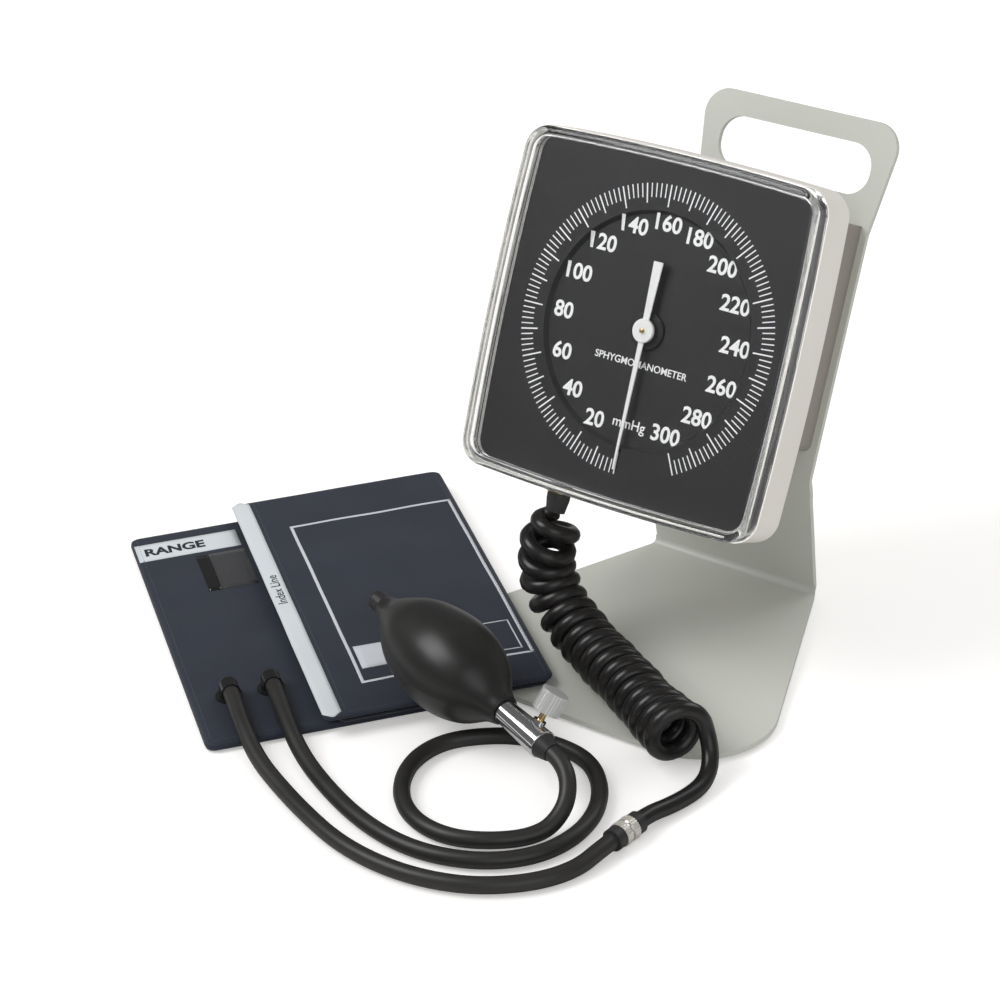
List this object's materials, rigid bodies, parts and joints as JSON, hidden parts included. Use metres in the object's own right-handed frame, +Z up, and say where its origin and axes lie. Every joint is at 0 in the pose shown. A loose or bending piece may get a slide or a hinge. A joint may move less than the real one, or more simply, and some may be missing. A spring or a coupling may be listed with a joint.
{
  "type": "upper arm blood pressure monitor",
  "caption": "Desk-standing aneroid blood pressure monitor: square dial gauge on a bent plate stand with storage bin, coiled hose, arm cuff and squeeze bulb.",
  "frame": {"origin": "centre of the stand's base on the surface it rests on", "axes": "+Z up, -Y the side the dial faces, +X to the right of someone reading the dial"},
  "size_m": [0.3453, 0.3408, 0.2289],
  "materials": {
    "paint": "satin light grey-green enamel",
    "black_rubber": "matte",
    "bin_plastic": "matte taupe moulding",
    "steel": "plated",
    "housing_plastic": "satin warm white",
    "clear": "clear polished",
    "clear_seal": "matte",
    "dial_black": "satin black with pale print",
    "pointer_white": "satin white",
    "brass": "machined",
    "bronze": "rolled",
    "hose_rubber": "matte to satin",
    "chrome": "polished and knurled",
    "nylon": "coated woven nylon, dark navy",
    "bladder_rubber": "matte",
    "loop_tape": "brushed loop",
    "hook_tape": "hook",
    "pale_tape": "smooth pale tape",
    "mesh_black": "fine mesh",
    "gloss_black": "gloss",
    "disc_rubber": "matte"
  },
  "bodies": {
    "stand_and_gauge": {"stand_plate": "paint", "base_pad": "black_rubber", "storage_bin": "bin_plastic", "head_screws": "steel", "bin_screws": "steel", "bin_nuts": "steel", "gauge_housing": "housing_plastic", "gauge_lens": "clear", "lens_gasket": "clear_seal", "dial_plate": "dial_black", "hairspring": "bronze", "pressure_capsule": "bronze", "movement_base": "brass", "movement_screws": "steel", "movement_pillars": "brass", "movement_top_plate": "brass", "pillar_screws": "steel", "pinion_bridge": "brass", "inlet_block": "brass", "pressure_tube": "bronze", "inlet_nipple": "brass", "hose_strain_relief": "black_rubber", "coiled_hose": "hose_rubber", "coiled_hose_tail": "hose_rubber", "cuff_hose": "hose_rubber", "bulb_hose": "hose_rubber", "connector_female": "chrome", "connector_male": "chrome", "connector_sleeves": "black_rubber", "cuff_back_panel": "nylon", "cuff_bladder": "bladder_rubber", "cuff_front_panel": "nylon", "cuff_folded_tail": "nylon", "loop_patch": "loop_tape", "hook_patch": "hook_tape", "cuff_label_flap": "nylon", "index_tape": "pale_tape", "range_window": "mesh_black", "port_elbows": "gloss_black", "squeeze_bulb": "black_rubber", "tail_valve": "gloss_black", "release_valve_body": "chrome", "valve_hose_boot": "black_rubber"},
    "pointer_set": {"pointer": "pointer_white", "pinion_arbor": "brass"},
    "sector": {"sector_gear": "brass", "sector_arbor": "steel"},
    "rocker": {"rocker_shaft": "steel"},
    "push_pin": {"push_pin": "steel"},
    "needle": {"needle_stem": "brass"},
    "knob": {"release_knob": "chrome"},
    "collar": {"connector_collar": "chrome"},
    "check_ball": {"tail_check_ball": "steel"},
    "check_disc": {"outlet_check_disc": "disc_rubber"}
  },
  "joints": [
    {"name": "pointer_turn", "type": "hinge", "parent": "stand_and_gauge", "child": "pointer_set", "pos_m": [0, 0.0031, 0.15519], "axis": [0, 0.9078, -0.4195], "range_deg": [0, 333], "stiffness_Nm_per_rad": 0.0001},
    {"name": "sector_turn", "type": "hinge", "parent": "stand_and_gauge", "child": "sector", "pos_m": [0.039, 0.00855, 0.15268], "axis": [0, -0.9078, 0.4195], "range_deg": [0, 27.8]},
    {"name": "rocker_turn", "type": "hinge", "parent": "stand_and_gauge", "child": "rocker", "pos_m": [0, 0.01164, 0.15676], "axis": [-1, 0, 0], "range_deg": [0, 13.9]},
    {"name": "push_pin_lift", "type": "slide", "parent": "stand_and_gauge", "child": "push_pin", "axis": [0, -0.9078, 0.4195], "range_m": [0, 0.0012]},
    {"name": "needle_lift", "type": "slide", "parent": "knob", "child": "needle", "axis": [0.2712, 0.5167, 0.8121], "range_m": [0, 0.0014]},
    {"name": "valve_knob_turn", "type": "hinge", "parent": "stand_and_gauge", "child": "knob", "pos_m": [0.0208, -0.11784, 0.02402], "axis": [0.2712, 0.5167, 0.8121], "range_deg": [0, 720]},
    {"name": "connector_collar_turn", "type": "hinge", "parent": "stand_and_gauge", "child": "collar", "pos_m": [0.0776, -0.1325, 0.0056], "axis": [-0.08, -0.9968, 0], "range_deg": [0, 180]},
    {"name": "tail_ball_slide", "type": "slide", "parent": "stand_and_gauge", "child": "check_ball", "axis": [-0.9475, 0.2918, 0.1307], "range_m": [-0.0004, 0.0004]},
    {"name": "outlet_disc_slide", "type": "slide", "parent": "stand_and_gauge", "child": "check_disc", "axis": [0.9475, -0.2918, -0.1307], "range_m": [-0.001, 0.001]}
  ],
  "couplings": [
    {"joint": "sector_turn", "follows": "pointer_turn", "ratio": 0.083333},
    {"joint": "rocker_turn", "follows": "pointer_turn", "ratio": 0.0417},
    {"joint": "push_pin_lift", "follows": "pointer_turn", "m_per_rad": 0.00020647},
    {"joint": "needle_lift", "follows": "valve_knob_turn", "m_per_rad": 0.00011141}
  ]
}
